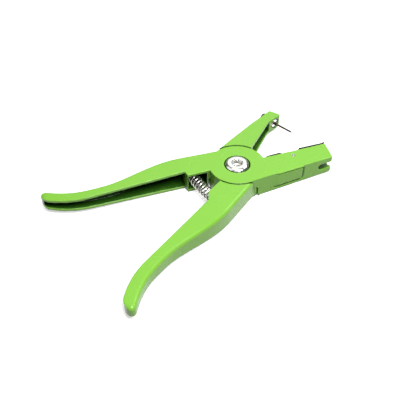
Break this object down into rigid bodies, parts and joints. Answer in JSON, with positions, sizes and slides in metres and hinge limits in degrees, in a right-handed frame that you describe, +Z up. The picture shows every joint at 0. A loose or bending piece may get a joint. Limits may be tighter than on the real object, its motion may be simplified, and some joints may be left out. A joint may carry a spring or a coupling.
{
  "type": "ear tag applicator",
  "caption": "Plier-type applicator with two crossed cast levers, a return spring, a sprung tag clip in one jaw and a steel pin in the other.",
  "frame": {"origin": "pivot axis at the underside of the hub", "axes": "+X towards the jaws, midway between the levers as they stand open; +Z up along the pivot"},
  "size_m": [0.2318, 0.1398, 0.0206],
  "materials": {
    "paint": "gloss powder coat on cast aluminium",
    "polished_steel": "polished and plated",
    "zinc_steel": "zinc plated",
    "spring_steel": "bright drawn wire",
    "clip_steel": "blued spring sheet",
    "dark_steel": "hardened, dark"
  },
  "bodies": {
    "clip_side": {"clip_lever": "paint", "pivot_bolt": "polished_steel", "thrust_washer": "zinc_steel", "pivot_nut": "zinc_steel", "return_spring": "spring_steel", "clip_pin": "zinc_steel", "clip_spring": "spring_steel"},
    "pin_side": {"pin_lever": "paint", "applicator_pin": "dark_steel", "pin_bush": "zinc_steel", "lock_screw": "dark_steel"},
    "clip": {"tag_clip": "clip_steel"}
  },
  "joints": [
    {"name": "squeeze", "type": "hinge", "parent": "clip_side", "child": "pin_side", "pos_m": [0, 0, 0.0095], "axis": [0, 0, -1], "range_deg": [0, 32], "stiffness_Nm_per_rad": 2, "springref_deg": -17.19, "deforming": ["return_spring"]},
    {"name": "clip_lift", "type": "hinge", "parent": "clip_side", "child": "clip", "pos_m": [0.04612, -0.0186, 0.0095], "axis": [0, 0, 1], "range_deg": [0, 4], "stiffness_Nm_per_rad": 0.5, "springref_deg": -11.46, "deforming": ["clip_spring"]}
  ]
}
